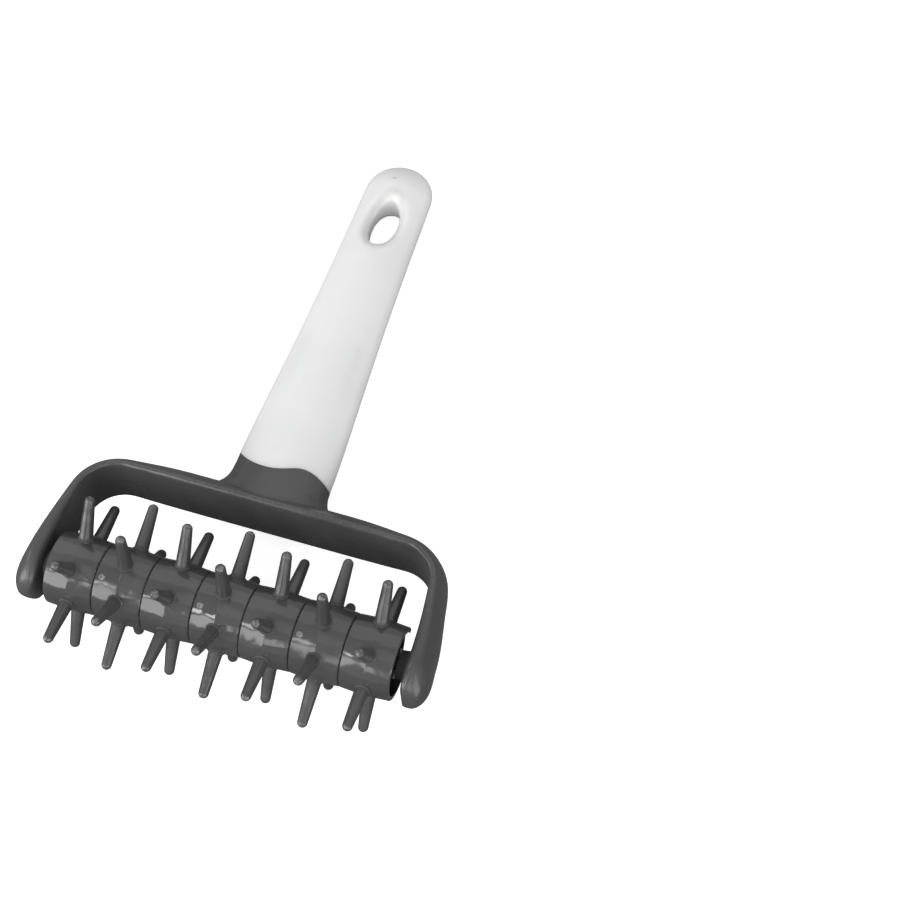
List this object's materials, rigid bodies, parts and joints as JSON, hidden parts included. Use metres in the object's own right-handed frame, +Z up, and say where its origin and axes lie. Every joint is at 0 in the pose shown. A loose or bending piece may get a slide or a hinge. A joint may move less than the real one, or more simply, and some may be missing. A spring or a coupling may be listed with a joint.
{
  "type": "dough docker",
  "caption": "Hand-held dough docker: a free-spinning roller of spiked rings in a forked yoke, with a tapered pale grip that has a hanging hole.",
  "frame": {"origin": "on the table, at the centre of the part's footprint box, with the tool put down on two rows of spike tips and on the end of the grip", "axes": "+X along the roller's axle, +Y from the roller towards the end of the grip, +Z up"},
  "size_m": [0.1276, 0.1896, 0.0486],
  "materials": {
    "yoke_plastic": "dark grey moulded plastic, semi-gloss",
    "grip_plastic": "off-white moulded plastic, satin",
    "core_plastic": "black moulded plastic, satin",
    "ring_plastic": "dark grey moulded plastic, glossy"
  },
  "bodies": {
    "frame": {"yoke": "yoke_plastic", "handle": "grip_plastic"},
    "roller": {"core_bar": "core_plastic", "ring_1": "ring_plastic", "ring_2": "ring_plastic", "ring_3": "ring_plastic", "ring_4": "ring_plastic", "ring_5": "ring_plastic", "ring_6": "ring_plastic", "ring_7": "ring_plastic"}
  },
  "joints": [
    {"name": "roller_spin", "type": "hinge", "parent": "frame", "child": "roller", "pos_m": [0, -0.07054, 0.0243], "axis": [1, 0, 0], "continuous": true}
  ]
}
